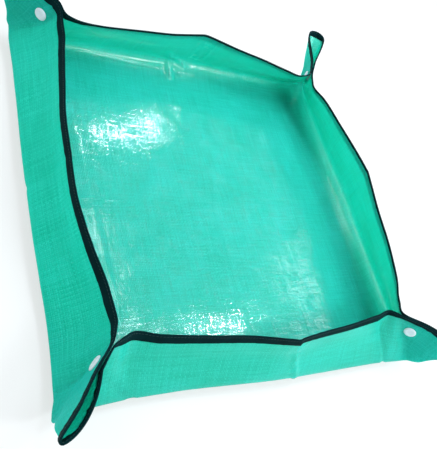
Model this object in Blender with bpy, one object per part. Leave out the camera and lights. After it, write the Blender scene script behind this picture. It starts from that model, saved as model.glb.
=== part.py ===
"""Repotting mat: a square tarpaulin sheet whose four walls stand up when its corners are snapped.

The sheet is flat stock. It is folded up along four lines, and each corner is pinched into an
outward ear that one press snap holds. Lengths are in metres, +Z is up, and the origin is the
middle of the underside.
"""

from math import atan2, cos, degrees, pi, radians, sin, sqrt, tan

import bmesh
import bpy
import numpy as np
from mathutils import Matrix, Vector

MM = 0.001

# Sheet
SHEET_SIDE = 600 * MM
WALL_HEIGHT = 74 * MM
SHEET_THICKNESS = 0.6 * MM
PINCH_INSET = 29.6 * MM
CORNER_RELIEF = 5 * MM

# Clearance between pieces that touch
SEAT_GAP = 0.3 * MM

# Binding tape, folded over the sheet's edge
TAPE_WIDTH = 10 * MM
TAPE_THICKNESS = 0.4 * MM

# Ears
EAR_BOW = 6.4 * MM
EAR_FLAT_SHARE = 0.30
EAR_BOW_START_POWER = 1.5
EAR_SLIT_SHARE = 0.05

# Press snaps
SNAP_EDGE_DISTANCE = 22 * MM
SNAP_FOLD_MARGIN = 1.2 * MM
CAP_DIAMETER = 15 * MM
CAP_RIM_HEIGHT = 0.9 * MM
CAP_CROWN_HEIGHT = 1.9 * MM
CAP_DISH_DIAMETER = 8 * MM
CAP_DISH_DEPTH = 0.5 * MM
POST_DIAMETER = 3.4 * MM
POST_ENTRY = 0.4 * MM
STUD_DIAMETER = 11.4 * MM
STUD_BASE_HEIGHT = 0.8 * MM
STUD_HEAD_DIAMETER = 6.2 * MM
STUD_NECK_DIAMETER = 5.6 * MM
SOCKET_DIAMETER = 11.4 * MM
SOCKET_BASE_HEIGHT = 0.7 * MM
SOCKET_RING_HEIGHT = 1.3 * MM

# How the walls lean in, as shares of the wall's height, from the packing fold out to the pinch
LEAN_PLACE_SHARES = (0.0, 0.25, 0.5, 0.75, 0.88)
WALLS = {
    "front": {
        "turns": 0,
        "fold_share": 0.03,
        "start_shares": (0.235, 0.36, 0.434, 0.52, 0.58),
        "end_shares": (0.235, 0.34, 0.43, 0.54, 0.58),
    },
    "right": {
        "turns": 1,
        "fold_share": 0.10,
        "start_shares": (0.04, 0.17, 0.235, 0.33, 0.44),
        "end_shares": (0.04, 0.12, 0.23, 0.33, 0.43),
    },
    "back": {
        "turns": 2,
        "fold_share": -0.05,
        "start_shares": (0.06, 0.19, 0.305, 0.41, 0.46),
        "end_shares": (0.06, 0.235, 0.315, 0.385, 0.40),
    },
    "left": {
        "turns": 3,
        "fold_share": 0.0,
        "start_shares": (0.27, 0.29, 0.37, 0.46, 0.49),
        "end_shares": (0.27, 0.26, 0.357, 0.52, 0.53),
    },
}

# Where each ear's tip ends, as shares of the flat corner's diagonal, and how far the ear swings
CORNERS = {
    "fl": {"walls": ("front", "left"), "swing": 6.5, "tip_shares": (0.925, 0.43)},
    "fr": {"walls": ("right", "front"), "swing": 0.0, "tip_shares": (0.93, 0.375)},
    "br": {"walls": ("back", "right"), "swing": 19.0, "tip_shares": (0.88, 0.35)},
    "bl": {"walls": ("left", "back"), "swing": 0.0, "tip_shares": (0.93, 0.375)},
}

# Fineness
WALL_COLUMNS = 32
WALL_ROWS = 2
EAR_COLUMNS = 10
EAR_ROWS = 5
TAPE_ROWS = 2
CAP_SIDES = 20
SNAP_SIDES = 16
HOLE_SIDES = 12

# Worked out from the sizes above
BASE_SIDE = SHEET_SIDE - 2 * WALL_HEIGHT
HALF_BASE = BASE_SIDE / 2
PINCH_SHARE = PINCH_INSET / WALL_HEIGHT
FLAT_DIAGONAL = WALL_HEIGHT * sqrt(2)
SNAP_STACK = (3 * SEAT_GAP + STUD_BASE_HEIGHT + SOCKET_RING_HEIGHT + SOCKET_BASE_HEIGHT)
TAPE_OUTSIDE = SHEET_THICKNESS + SEAT_GAP + TAPE_THICKNESS
POST_HOLE_DIAMETER = POST_DIAMETER + 2 * SEAT_GAP

X = np.array((1.0, 0.0, 0.0))
Y = np.array((0.0, 1.0, 0.0))
UP = np.array((0.0, 0.0, 1.0))


def unit(vector):
    return vector / np.linalg.norm(vector)


def lerp(start, end, share):
    return start + (end - start) * share


def eased(place, places, values, end_slope):
    """Cubic curve through the values, straight into its first one and level at the last."""
    places = np.asarray(places)
    values = np.asarray(values)
    slopes = np.gradient(values, places)
    slopes[0] = (values[1] - values[0]) / (places[1] - places[0])
    slopes[-1] = end_slope
    i = int(np.clip(np.searchsorted(places, place) - 1, 0, len(places) - 2))
    step = places[i + 1] - places[i]
    t = np.clip((place - places[i]) / step, 0, 1)
    return (
        (2 * t**3 - 3 * t**2 + 1) * values[i]
        + (t**3 - 2 * t**2 + t) * step * slopes[i]
        + (3 * t**2 - 2 * t**3) * values[i + 1]
        + (t**3 - t**2) * step * slopes[i + 1]
    )


class Wall:
    """One standing wall, laid out by the distance along its fold line and the height up it."""

    def __init__(self, name, spec):
        quarter = spec["turns"] * pi / 2
        self.name = name
        self.spec = spec
        self.along = cos(quarter) * X + sin(quarter) * Y
        self.inward = -sin(quarter) * X + cos(quarter) * Y
        self.fold_middle = -HALF_BASE * self.inward + SHEET_THICKNESS * UP
        self.ends = {}

    def lean_share(self, s):
        pinch = self.ends[s > 0].pinch_place
        fold = self.spec["fold_share"] * pinch
        is_end = s > fold
        reach = (s - fold) / ((pinch if is_end else -pinch) - fold)
        if reach >= 1:
            return PINCH_SHARE
        shares = self.spec["end_shares" if is_end else "start_shares"]
        return eased(reach, LEAN_PLACE_SHARES + (1.0,), shares + (PINCH_SHARE,), 0.0)

    def skin(self, s, h):
        """Point of the wall's inner face."""
        lean = self.lean_share(s)
        rise = sqrt(1 - lean**2)
        return self.fold_middle + s * self.along + h * lean * self.inward + h * rise * UP

    def end_place(self, h, is_end, trim):
        """Distance along the fold at which the wall stops, at one height."""
        ear = self.ends[is_end]
        slant = sqrt(1 + PINCH_SHARE**2)
        place = HALF_BASE - sqrt(2) * ear.spread - PINCH_SHARE * h - trim * slant
        return place if is_end else -place

    def lay(self, u, h, n, trims):
        """Point at a share of the wall's length, a height, and a distance off its inner face."""
        start = self.end_place(h, False, trims[0])
        end = self.end_place(h, True, trims[1])
        s = lerp(start, end, u)
        step = SHEET_THICKNESS
        normal = unit(np.cross(
            self.skin(s + step, h) - self.skin(s - step, h),
            self.skin(s, h + step) - self.skin(s, h - step)))
        return self.skin(s, h) + n * normal


class Ear:
    """One pinched corner: two half ears with a snap through them, fold V-T between them."""

    def __init__(self, name, spec):
        first, second = (walls[w] for w in spec["walls"])
        self.name = name
        self.swing = radians(spec["swing"])
        self.spread = SNAP_STACK / 2 / cos(self.swing)
        self.pinch_place = HALF_BASE - sqrt(2) * self.spread - PINCH_INSET
        self.halves = {}
        out = -unit(first.inward + second.inward)
        across = unit(first.along - first.inward)
        corner = (first.fold_middle + second.fold_middle
                  - (first.fold_middle @ UP) * UP)
        corner_z = corner @ UP
        corner = corner + (SHEET_THICKNESS - corner_z) * UP
        rise = sqrt(WALL_HEIGHT**2 - PINCH_INSET**2)
        pinch = -sqrt(2) * PINCH_INSET * out + rise * UP
        self.fold_length = np.linalg.norm(pinch)
        self.up_fold = unit(pinch)
        level_out = unit(out - (out @ self.up_fold) * self.up_fold)
        self.outward = cos(self.swing) * level_out + sin(self.swing) * across
        self.facing = cos(self.swing) * across - sin(self.swing) * level_out
        self.foot = corner - self.spread * out
        self.across = across
        tip_out, tip_up = spec["tip_shares"]
        self.tip = np.array((tip_out, tip_up)) * FLAT_DIAGONAL
        self.pinch = np.array((0.0, self.fold_length))
        self.edge = unit(self.tip - self.pinch)
        self.edge_inward = np.array((self.edge[1], -self.edge[0]))
        self.edge_distance = -self.pinch @ self.edge_inward
        self.snap_place = self.find_snap_place()
        for wall, is_end, side in ((first, False, 1), (second, True, -1)):
            wall.ends[is_end] = self
            self.halves[wall.name] = HalfEar(self, wall, is_end, side)

    def find_snap_place(self):
        """The snap sits a set way in from the sheet's edge, with its cap clear of the fold."""
        x = CAP_DIAMETER / 2 + SNAP_FOLD_MARGIN + self.spread * abs(sin(self.swing))
        across_edge = SNAP_EDGE_DISTANCE - x * self.edge_inward[0]
        return np.array((x, self.fold_length + across_edge / self.edge_inward[1]))

    def shares(self, x, y):
        """Share of the way from fold V-P to fold V-T, and share of the way to the free edge."""
        slope = (self.fold_length - self.tip[1]) / self.tip[0]
        reach = (y + x * slope) / self.fold_length
        return x / (reach * self.tip[0]), reach

    def place(self, turn, reach):
        """Place in the ear's plane for those two shares."""
        return reach * lerp(self.pinch, self.tip, turn)

    def half_gap(self, turn, reach):
        """Distance from the ear's middle plane to the inner face."""
        flat = SNAP_STACK / 2
        bend = np.clip((turn - EAR_FLAT_SHARE) / (1 - EAR_FLAT_SHARE), 0, 1.2)
        power = EAR_BOW_START_POWER
        peak = power / (power + 1)
        bow = bend**power * (1 - bend) / (peak**power * (1 - peak))
        seam = SEAT_GAP / 2
        ease = min(bend, 1.0)**2
        return lerp(flat, seam, ease) + EAR_BOW * bow * reach**1.5


class HalfEar:
    """Half of an ear, hinged to the end of its wall along the line from V to P."""

    def __init__(self, ear, wall, is_end, side):
        self.ear = ear
        self.wall = wall
        self.is_end = is_end
        self.side = side
        self.hinge_foot = ear.foot + side * ear.spread * ear.across
        away = -wall.along if is_end else wall.along
        lean = PINCH_SHARE
        up_wall = lean * wall.inward + sqrt(1 - lean**2) * UP
        past = -away - (-away @ ear.up_fold) * ear.up_fold
        inner = unit(np.cross(away, up_wall))
        past = past - (past @ inner) * inner
        self.fold_angle = atan2(
            np.linalg.norm(np.cross(unit(past), ear.outward)), unit(past) @ ear.outward)

    def trim(self, outside):
        """How far a layer stops short of the fold, so that it clears the wall's layer."""
        return outside * tan(self.fold_angle / 2) + SEAT_GAP / 2

    def skin(self, x, y):
        """Point of the half ear's inner face."""
        ear = self.ear
        turn, reach = ear.shares(x, y)
        flat = self.hinge_foot + x * ear.outward + y * ear.up_fold
        return flat + self.side * (ear.half_gap(turn, reach) - SNAP_STACK / 2) * ear.facing

    def off(self, x, y, n):
        """Point a distance off the inner face, on the outer side."""
        step = SHEET_THICKNESS
        normal = unit(np.cross(
            self.skin(x + step, y) - self.skin(x - step, y),
            self.skin(x, y + step) - self.skin(x, y - step)))
        if normal @ self.ear.facing * self.side < 0:
            normal = -normal
        return self.skin(x, y) + n * normal

    def lay_panel(self, u, depth):
        """Point of the panel: u from the wall's fold to the ear's fold, depth in from the edge."""
        ear = self.ear
        reach = 1 - depth / ear.edge_distance
        start = self.trim(SHEET_THICKNESS) / (reach * ear.tip[0])
        turn = lerp(min(start, 1 - 2 * EAR_SLIT_SHARE), 1 - EAR_SLIT_SHARE, u)
        return self.skin(*ear.place(turn, reach))

    def lay_tape(self, u, depth, n):
        """Point of the tape: u along the edge, depth in from it, n off the inner face."""
        ear = self.ear
        base = ear.pinch + depth * ear.edge_inward
        start = (self.trim(TAPE_OUTSIDE) - base[0]) / ear.edge[0]
        slit = ear.place(1 - EAR_SLIT_SHARE, 1)
        end = -(base[0] * slit[1] - base[1] * slit[0]) / (
            ear.edge[0] * slit[1] - ear.edge[1] * slit[0])
        return self.off(*(base + lerp(start, end, u) * ear.edge), n)

    def snap_matrix(self, n):
        """Frame on the snap's axis with its Z outward, a distance off the inner face."""
        ear = self.ear
        shift = -self.side * ear.spread * sin(ear.swing)
        x, y = ear.snap_place + np.array((shift, 0.0))
        axis = self.side * ear.facing
        origin = self.hinge_foot + x * ear.outward + y * ear.up_fold + n * axis
        side_axis = ear.up_fold
        columns = (np.cross(side_axis, axis), side_axis, axis)
        matrix = Matrix.Identity(4)
        for i, column in enumerate(columns):
            for j in range(3):
                matrix[j][i] = column[j]
        matrix.translation = Vector(origin)
        return matrix


walls = {name: Wall(name, spec) for name, spec in WALLS.items()}
ears = {name: Ear(name, spec) for name, spec in CORNERS.items()}


# Materials
def material(name, colour, roughness, metallic=0.0):
    mat = bpy.data.materials.new(name)
    mat.use_nodes = True
    shader = mat.node_tree.nodes["Principled BSDF"]
    shader.inputs["Base Color"].default_value = (*colour, 1)
    shader.inputs["Roughness"].default_value = roughness
    shader.inputs["Metallic"].default_value = metallic
    mat.diffuse_color = (*colour, 1)
    return mat


def finish(name, bm, mat, origin, parent):
    """Make the object, with its own origin on its joint's axis and its parent's place removed."""
    origin = Vector(origin)
    bmesh.ops.translate(bm, verts=bm.verts, vec=-origin)
    mesh = bpy.data.meshes.new(name)
    bm.to_mesh(mesh)
    bm.free()
    mesh.shade_smooth()
    mesh.set_sharp_from_angle(angle=radians(35))
    obj = bpy.data.objects.new(name, mesh)
    obj.data.materials.append(mat)
    bpy.context.scene.collection.objects.link(obj)
    obj.parent = parent
    obj.location = origin - (parent_place(parent) if parent else Vector())
    return obj


def parent_place(obj):
    place = obj.location.copy()
    while obj.parent:
        obj = obj.parent
        place += obj.location
    return place


def laid_grid(columns, rows, lay, facing):
    """Grid of faces, one line of points for each row, turned to face one way."""
    bm = bmesh.new()
    last = len(rows) - 1
    bmesh.ops.create_grid(bm, x_segments=columns, y_segments=last, size=1)
    for vert in bm.verts:
        row = rows[round((vert.co.y + 1) / 2 * last)]
        vert.co = Vector(lay((vert.co.x + 1) / 2, row))
    bm.normal_update()
    mean = sum((face.normal * face.calc_area() for face in bm.faces), Vector())
    if mean.dot(Vector(facing)) < 0:
        bmesh.ops.reverse_faces(bm, faces=bm.faces)
    return bm


def thicken(obj, thickness, offset):
    solid = obj.modifiers.new("Thickness", "SOLIDIFY")
    solid.thickness = thickness
    solid.offset = offset
    solid.use_even_offset = True


def split_faces(obj):
    """Split each twisted face the same way, so that layers lie side by side without touching."""
    split = obj.modifiers.new("Split", "TRIANGULATE")
    split.quad_method = "BEAUTY"


def turned(profile, sides):
    """Closed round solid from a profile of (radius, height) points on the Z axis."""
    bm = bmesh.new()
    verts = [bm.verts.new((radius, 0, height)) for radius, height in profile]
    edges = [bm.edges.new(pair) for pair in zip(verts, verts[1:])]
    bmesh.ops.spin(bm, geom=verts + edges, cent=(0, 0, 0), axis=(0, 0, 1), angle=2 * pi,
                   steps=sides, use_merge=True, use_duplicate=False)
    bmesh.ops.remove_doubles(bm, verts=bm.verts, dist=SEAT_GAP / 100)
    bmesh.ops.recalc_face_normals(bm, faces=bm.faces)
    return bm


def rows_to_edge(start, rows):
    """Distances in from the edge: rows of plain sheet, then the rows that the tape covers."""
    plain = [lerp(start, TAPE_WIDTH, i / rows) for i in range(rows)]
    return plain + [lerp(TAPE_WIDTH, 0, i / TAPE_ROWS) for i in range(TAPE_ROWS + 1)]


def hook_profile():
    """Places across a folded tape: up the inner leg, over the edge, down the outer leg."""
    inner = -(SEAT_GAP + TAPE_THICKNESS / 2)
    outer = SHEET_THICKNESS + SEAT_GAP + TAPE_THICKNESS / 2
    over = -(SEAT_GAP + TAPE_THICKNESS / 2)
    leg = [lerp(TAPE_WIDTH, over, i / TAPE_ROWS) for i in range(TAPE_ROWS + 1)]
    return [(depth, inner) for depth in leg] + [(depth, outer) for depth in reversed(leg)]


def tape_over_edge(name, columns, lay, mat, facing, panel):
    """Folded tape: its middle layer swept along the edge, then given the tape's thickness."""
    bm = laid_grid(columns, hook_profile(), lambda u, row: lay(u, *row), facing)
    tape = finish(name, bm, mat, parent_place(panel), panel)
    thicken(tape, TAPE_THICKNESS, 0)
    split_faces(tape)
    return tape


def cap_profile():
    """Cap with a dished crown and the post that goes through the sheet."""
    radius = CAP_DIAMETER / 2
    post = POST_DIAMETER / 2
    dish = CAP_DISH_DIAMETER / 2
    tip = -(SEAT_GAP + SHEET_THICKNESS + SEAT_GAP + POST_ENTRY)
    return (
        (0, tip),
        (post, tip),
        (post, 0),
        (radius, 0),
        (radius, CAP_RIM_HEIGHT),
        (lerp(dish, radius, 2 / 3), CAP_CROWN_HEIGHT),
        (dish, CAP_CROWN_HEIGHT),
        (dish * 0.7, CAP_CROWN_HEIGHT - CAP_DISH_DEPTH),
        (0, CAP_CROWN_HEIGHT - CAP_DISH_DEPTH),
    )


def stud_profile():
    """Stud plate with its blind post bore and the head that presses into the socket."""
    bore = POST_HOLE_DIAMETER / 2
    head = STUD_HEAD_DIAMETER / 2
    neck = STUD_NECK_DIAMETER / 2
    top = STUD_BASE_HEIGHT + SEAT_GAP + SOCKET_RING_HEIGHT - SEAT_GAP
    return (
        (0, POST_ENTRY + SEAT_GAP),
        (bore, POST_ENTRY + SEAT_GAP),
        (bore, 0),
        (STUD_DIAMETER / 2, 0),
        (STUD_DIAMETER / 2, STUD_BASE_HEIGHT),
        (neck, STUD_BASE_HEIGHT),
        (head, lerp(STUD_BASE_HEIGHT, top, 2 / 3)),
        (neck, top),
        (0, top),
    )


def socket_profile():
    """Socket plate with its post bore and the ring that grips the stud's head."""
    bore = POST_HOLE_DIAMETER / 2
    mouth = STUD_HEAD_DIAMETER / 2 + SEAT_GAP
    outer = SOCKET_DIAMETER / 2
    top = SOCKET_BASE_HEIGHT + SOCKET_RING_HEIGHT
    return (
        (bore, 0),
        (outer, 0),
        (outer, top),
        (mouth, top),
        (mouth, SOCKET_BASE_HEIGHT),
        (bore, SOCKET_BASE_HEIGHT),
        (bore, 0),
    )


def add_turned(name, profile, sides, matrix, mat, panel):
    bm = turned(profile, sides)
    bm.transform(matrix)
    return finish(name, bm, mat, parent_place(panel), panel)


def add_floor(mat):
    """Flat floor, stopped a seat gap short of the folds, its corners cut back for relief."""
    reach = HALF_BASE - SEAT_GAP
    bm = bmesh.new()
    bmesh.ops.create_cube(bm, size=1)
    bmesh.ops.scale(bm, verts=bm.verts, vec=(2 * reach, 2 * reach, SHEET_THICKNESS))
    bmesh.ops.translate(bm, verts=bm.verts, vec=(0, 0, SHEET_THICKNESS / 2))
    uprights = [e for e in bm.edges if abs(e.verts[0].co.z - e.verts[1].co.z) > SEAT_GAP]
    bmesh.ops.bevel(bm, geom=uprights, offset=CORNER_RELIEF, segments=4, profile=0.5,
                    affect="EDGES")
    return finish("floor_panel", bm, mat, (0, 0, 0), None)


def add_wall(wall, floor, mats):
    """Wall panel and the binding along its top edge."""
    halves = [wall.ends[is_end].halves[wall.name] for is_end in (False, True)]
    sheet_trims = [half.trim(SHEET_THICKNESS) for half in halves]
    tape_trims = [half.trim(TAPE_OUTSIDE) for half in halves]

    def panel_place(u, depth):
        return wall.lay(u, WALL_HEIGHT - depth, 0, sheet_trims)

    rows = rows_to_edge(WALL_HEIGHT - SEAT_GAP, WALL_ROWS)
    bm = laid_grid(WALL_COLUMNS, rows, panel_place, wall.inward)
    panel = finish("wall_" + wall.name, bm, mats["sheet"], wall.fold_middle, floor)
    thicken(panel, SHEET_THICKNESS, -1)
    split_faces(panel)

    def tape_place(u, depth, n):
        return wall.lay(u, WALL_HEIGHT - depth, n, tape_trims)

    tape_over_edge("binding_" + wall.name, WALL_COLUMNS, tape_place, mats["tape"], UP, panel)
    return panel


def add_half_ear(half, panel, mats):
    """Half ear, its binding, and the pieces of the snap that it carries."""
    ear = half.ear
    label = ear.name + "_" + half.wall.name
    inside = -half.side * ear.facing
    rows = rows_to_edge(ear.edge_distance * (1 - CORNER_RELIEF / ear.fold_length), EAR_ROWS)
    bm = laid_grid(EAR_COLUMNS, rows, half.lay_panel, inside)
    flap = finish("ear_" + label, bm, mats["sheet"], half.hinge_foot, panel)
    thicken(flap, SHEET_THICKNESS, -1)

    hole = add_cutter("hole_" + label, half, flap)
    cut = flap.modifiers.new("Post hole", "BOOLEAN")
    cut.operation = "DIFFERENCE"
    cut.object = hole
    cut.solver = "EXACT"
    split_faces(flap)

    tape_over_edge("binding_" + label, EAR_COLUMNS, half.lay_tape, mats["tape"], UP, flap)

    seat = half.snap_matrix(SHEET_THICKNESS + SEAT_GAP)
    add_turned("snap_cap_" + label, cap_profile(), CAP_SIDES, seat, mats["snap"], flap)
    seat = half.snap_matrix(-SEAT_GAP) @ Matrix.Rotation(pi, 4, "X")
    if half.side > 0:
        add_turned("snap_stud_" + ear.name, stud_profile(), SNAP_SIDES, seat, mats["snap"], flap)
    else:
        add_turned("snap_socket_" + ear.name, socket_profile(), SNAP_SIDES, seat,
                   mats["snap"], flap)


def add_cutter(name, half, flap):
    """Round cutter through the sheet on the snap's axis."""
    bm = bmesh.new()
    radius = POST_HOLE_DIAMETER / 2
    bmesh.ops.create_cone(bm, cap_ends=True, segments=HOLE_SIDES, radius1=radius,
                          radius2=radius, depth=4 * SHEET_THICKNESS)
    bm.transform(half.snap_matrix(SHEET_THICKNESS / 2))
    cutter = finish(name, bm, bpy.data.materials["Sheet"], half.hinge_foot, flap)
    cutter.hide_render = True
    cutter.display_type = "WIRE"
    return cutter


def main():
    for obj in list(bpy.data.objects):
        bpy.data.objects.remove(obj, do_unlink=True)
    mats = {
        "sheet": material("Sheet", (0.014, 0.52, 0.38), 0.35),
        "tape": material("Binding", (0.004, 0.020, 0.022), 0.75),
        "snap": material("Snap", (0.60, 0.78, 0.90), 0.30),
    }
    floor = add_floor(mats["sheet"])
    panels = {name: add_wall(wall, floor, mats) for name, wall in walls.items()}
    for ear in ears.values():
        for half in ear.halves.values():
            add_half_ear(half, panels[half.wall.name], mats)


if __name__ == "__main__":
    main()
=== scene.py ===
"""Repotting mat: the looks of its sheet, edge binding, stitching and press snaps.

The sheet is one flat square. Its floor, walls and half ears are laid out here from the same
lengths as the CAD, rounded along their folds as one surface, and then cut apart at the folds,
so that their edges and their shading meet.
"""

from functools import lru_cache
from math import cos, pi, radians, sin, sqrt

import bmesh
import bpy
import numpy as np
from mathutils import Matrix, Vector, noise


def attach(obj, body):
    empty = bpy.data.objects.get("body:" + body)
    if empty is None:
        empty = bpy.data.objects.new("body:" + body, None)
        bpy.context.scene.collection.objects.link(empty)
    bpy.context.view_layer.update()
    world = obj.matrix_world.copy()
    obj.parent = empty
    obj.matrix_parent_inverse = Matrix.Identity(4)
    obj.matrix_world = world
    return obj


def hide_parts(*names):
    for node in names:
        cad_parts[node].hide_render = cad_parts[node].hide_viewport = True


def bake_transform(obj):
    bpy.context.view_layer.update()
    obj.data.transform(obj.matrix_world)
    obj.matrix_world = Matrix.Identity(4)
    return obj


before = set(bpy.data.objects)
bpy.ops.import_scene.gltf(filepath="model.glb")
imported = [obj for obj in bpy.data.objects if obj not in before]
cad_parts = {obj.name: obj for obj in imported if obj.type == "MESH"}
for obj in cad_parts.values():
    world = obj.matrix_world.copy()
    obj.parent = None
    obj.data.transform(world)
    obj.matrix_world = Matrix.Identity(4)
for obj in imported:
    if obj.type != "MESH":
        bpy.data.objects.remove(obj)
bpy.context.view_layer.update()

bl_info = {
    "name": "Repotting Mat",
    "version": (1, 0, 0),
    "blender": (4, 5, 0),
    "location": "View3D > Sidebar > Mat",
    "description": "Builds a folding tray mat around its packed frame",
    "category": "Object",
}

MM = 0.001

# Sheet, as in the CAD
SHEET_SIDE = 600 * MM
WALL_HEIGHT = 74 * MM
SHEET_THICKNESS = 0.6 * MM
PINCH_INSET = 29.6 * MM
SEAT_GAP = 0.3 * MM
TAPE_WIDTH = 9.2 * MM
TAPE_THICKNESS = 0.4 * MM
TAPE_INNER_WIDTH = 2.4 * MM
TAPE_EASE = 45 * MM
TAPE_CLEARANCE = 0.4 * SEAT_GAP
STITCH_DEPTH = 1.6 * MM
STITCH_PITCH = 3.4 * MM
STITCH_LENGTH = 2.7 * MM
STITCH_RADIUS = 0.26 * MM
STITCH_SLANT = 0.16
EAR_FLAT_SHARE = 0.30
CAP_DIAMETER = 15 * MM
STUD_BASE_HEIGHT = 0.8 * MM
SOCKET_BASE_HEIGHT = 0.7 * MM
SOCKET_RING_HEIGHT = 1.3 * MM
HALF_BASE = SHEET_SIDE / 2 - WALL_HEIGHT
PINCH_SHARE = PINCH_INSET / WALL_HEIGHT
FLAT_DIAGONAL = WALL_HEIGHT * sqrt(2)
SNAP_STACK = 3 * SEAT_GAP + STUD_BASE_HEIGHT + SOCKET_RING_HEIGHT + SOCKET_BASE_HEIGHT

# Walls: quarter turns from the front, place of the packing fold and the lean on both sides of
# it out to the pinch, as shares; sag outward at five places and rise of the foot, in millimetres
LEAN_PLACE_SHARES = (0.0, 0.25, 0.5, 0.75, 0.88)
WALLS = {
    "front": {"turns": 0, "fold_share": 0.03, "swell": (12.3, 9.8, 12.2, 13.4, 13.0), "ramp": 2,
              "start": (0.235, 0.36, 0.434, 0.52, 0.58),
              "end": (0.235, 0.34, 0.43, 0.54, 0.58)},
    "right": {"turns": 1, "fold_share": 0.10, "swell": (9, 6, 5, 5, 7), "ramp": 6.5,
              "start": (0.04, 0.17, 0.245, 0.36, 0.43),
              "end": (0.04, 0.135, 0.25, 0.355, 0.45)},
    "back": {"turns": 2, "fold_share": -0.05, "swell": (7, 5, 2.5, 0, -2), "ramp": 7,
             "start": (0.085, 0.215, 0.315, 0.415, 0.46),
             "end": (0.085, 0.24, 0.325, 0.40, 0.415)},
    "left": {"turns": 3, "fold_share": 0.0, "swell": (16, 15.2, 14.2, 13.2, 12.6), "ramp": 2,
             "start": (0.27, 0.29, 0.37, 0.46, 0.49),
             "end": (0.27, 0.26, 0.357, 0.52, 0.53)},
}
# Corners, in degrees, shares of the flat diagonal and millimetres. Bows: rise, early and late
# power of each half. Tape: widths of each half's outer leg at pinch and tip, of the inner leg,
# and of the inner leg where the walls end. Snap: clear of the fold, in from the edge
CORNERS = {
    "fl": {"walls": ("front", "left"), "swing": 6.5, "tip_shares": (0.925, 0.43),
           "bows": ((7.5, 0.8, 0.65), (-1.0, 1.5, 0.35)),
           "tape": ((7.2, 7.2), (5.0, 10.0), 5.0, 2.4),
           "snap": (1.2, 16.5), "swell_top": 34},
    "fr": {"walls": ("right", "front"), "swing": 0.0, "tip_shares": (0.93, 0.375),
           "bows": ((3.5, 1.5, 0.55), (4.0, 1.5, 0.55)),
           "tape": ((6.2, 6.2), (5.2, 5.2), 2.6, 2.4),
           "snap": (1.2, 19.5), "swell_top": 43},
    "br": {"walls": ("back", "right"), "swing": 19.0, "tip_shares": (0.88, 0.35),
           "bows": ((16.0, 1.5, 0.20), (10.0, 1.5, 0.20)),
           "tape": ((6.0, 6.0), (6.0, 6.0), 3.4, 2.4),
           "snap": (1.2, 19.5), "swell_top": 43},
    "bl": {"walls": ("left", "back"), "swing": 0.0, "tip_shares": (0.93, 0.375),
           "bows": ((5.0, 1.5, 0.55), (5.0, 1.5, 0.55)),
           "tape": ((8.6, 7.0), (7.0, 7.0), 5.0, 9.0),
           "snap": (3.4, 21.5), "swell_top": 43},
}

# Small moves of the sheet beside its free edge, in millimetres: whose half, place past the
# pinch along the edge and in from it, spread, move
NUDGES = {
    "fl": (("both", 0, 0, 24, (2.5, 3.6, 2.6)), ("both", 22, 0, 24, (0, 2, 3)),
           ("both", 58, 44, 24, (-1.2, 0.2, -0.6)), ("both", 28, 32, 24, (-3.0, -1.0, 0)),
           ("both", 76, 28, 18, (-2.0, 0.5, 0)), ("left", 92, 0, 14, (-2.2, 0, 0)),
           ("left", 30, 74, 16, (-1.6, 0, 0)), ("left", 60, 74, 14, (1.0, 0, 0)),
           ("both", 103, 0, 24, (-0.5, 1.05, 0))),
    "fr": (("both", 0, 0, 24, (-15.5, 5.2, -0.1)), ("both", 30, 0, 24, (0, 2, 4)),
           ("front", -18, 0, 17, (5.5, -0.3, 0.3)), ("front", 34, 74, 18, (0, -2.0, 0)),
           ("right", -14, 0, 12, (3.5, 0, 0))),
    "br": (("both", 104, 0, 24, (-0.3, 2.2, 1.7)),),
    "bl": (("both", 0, 0, 24, (2.0, 3.5, 1.0)), ("both", 22, 0, 24, (11, -3, 8)),
           ("both", 44, 60, 24, (1.6, -0.4, 0.8)), ("left", 27, 74, 13, (-2.0, 0, 0)),
           ("both", 44, 60, 12, (0.7, 0, 0)), ("both", 52, 52, 14, (0.6, 0, 0))),
}

# Fineness of the laid-out sheet
SIDE_COLUMNS = 132
FOLD_ROWS = 5
WALL_ROWS = 22
EAR_COLUMNS = 28

# How the sheet rounds its folds
FOLD_REACH = 14 * MM
SMOOTHING_STEPS = 80
FOLD_SPREAD = 21 * MM
PINCH_SPREAD = 9 * MM
PINCH_SOFTNESS = 0.16
CORNER_STEPS = 8
CORNER_SPREAD = 14 * MM
EAR_TIP_SOFTNESS = 0.10
SNAP_FLAT_RADIUS = 7.6 * MM
SNAP_EASE_RADIUS = 9.6 * MM

# How the sheet sags outward round its folds
SWELL_PLACES = (-1.0, -0.5, 0.0, 0.5, 1.0)
SWELL_PEAK = 7 * MM
SWELL_TOP = 50 * MM
SWELL_JOIN = 18 * MM
SWELL_END_EASE = (-25 * MM, 5 * MM)
RAMP_REACH = 46 * MM

# How close the two halves of an ear come at its pinch
CLOSE_SPREAD = 22 * MM
CLOSE_FOLD_SPREAD = 8 * MM
CLOSE_GAP = 1.15 * MM

# Shares up each wall and out from it of a way across its fold; each wall works this way out, but
# nothing uses it
BLEND_RISE, BLEND_OUT = 0.92, 0.6

X = np.array((1.0, 0.0, 0.0))
Y = np.array((0.0, 1.0, 0.0))
UP = np.array((0.0, 0.0, 1.0))


def unit(vector):
    return vector / np.linalg.norm(vector)


def lerp(start, end, share):
    return start + (end - start) * share


def smooth_step(value, low, high):
    share = np.clip((value - low) / (high - low), 0, 1)
    return share * share * (3 - 2 * share)


def bell(away, spread):
    return np.exp(-(away / spread) ** 2)


def column(values):
    """Numbers set up to multiply a direction."""
    return np.asarray(values)[..., None]


def away_from(flat, place):
    return np.linalg.norm(flat - place, axis=-1)


def past_fold(flat):
    """How far each place on the flat sheet lies outside the fold lines of the walls."""
    return np.max(np.abs(flat), axis=-1) - HALF_BASE


def ahead_and_aside(local, way):
    """How far places lie along a direction on the flat sheet, and how far beside it."""
    return local @ way, np.abs(local[..., 0] * way[1] - local[..., 1] * way[0])


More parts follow.
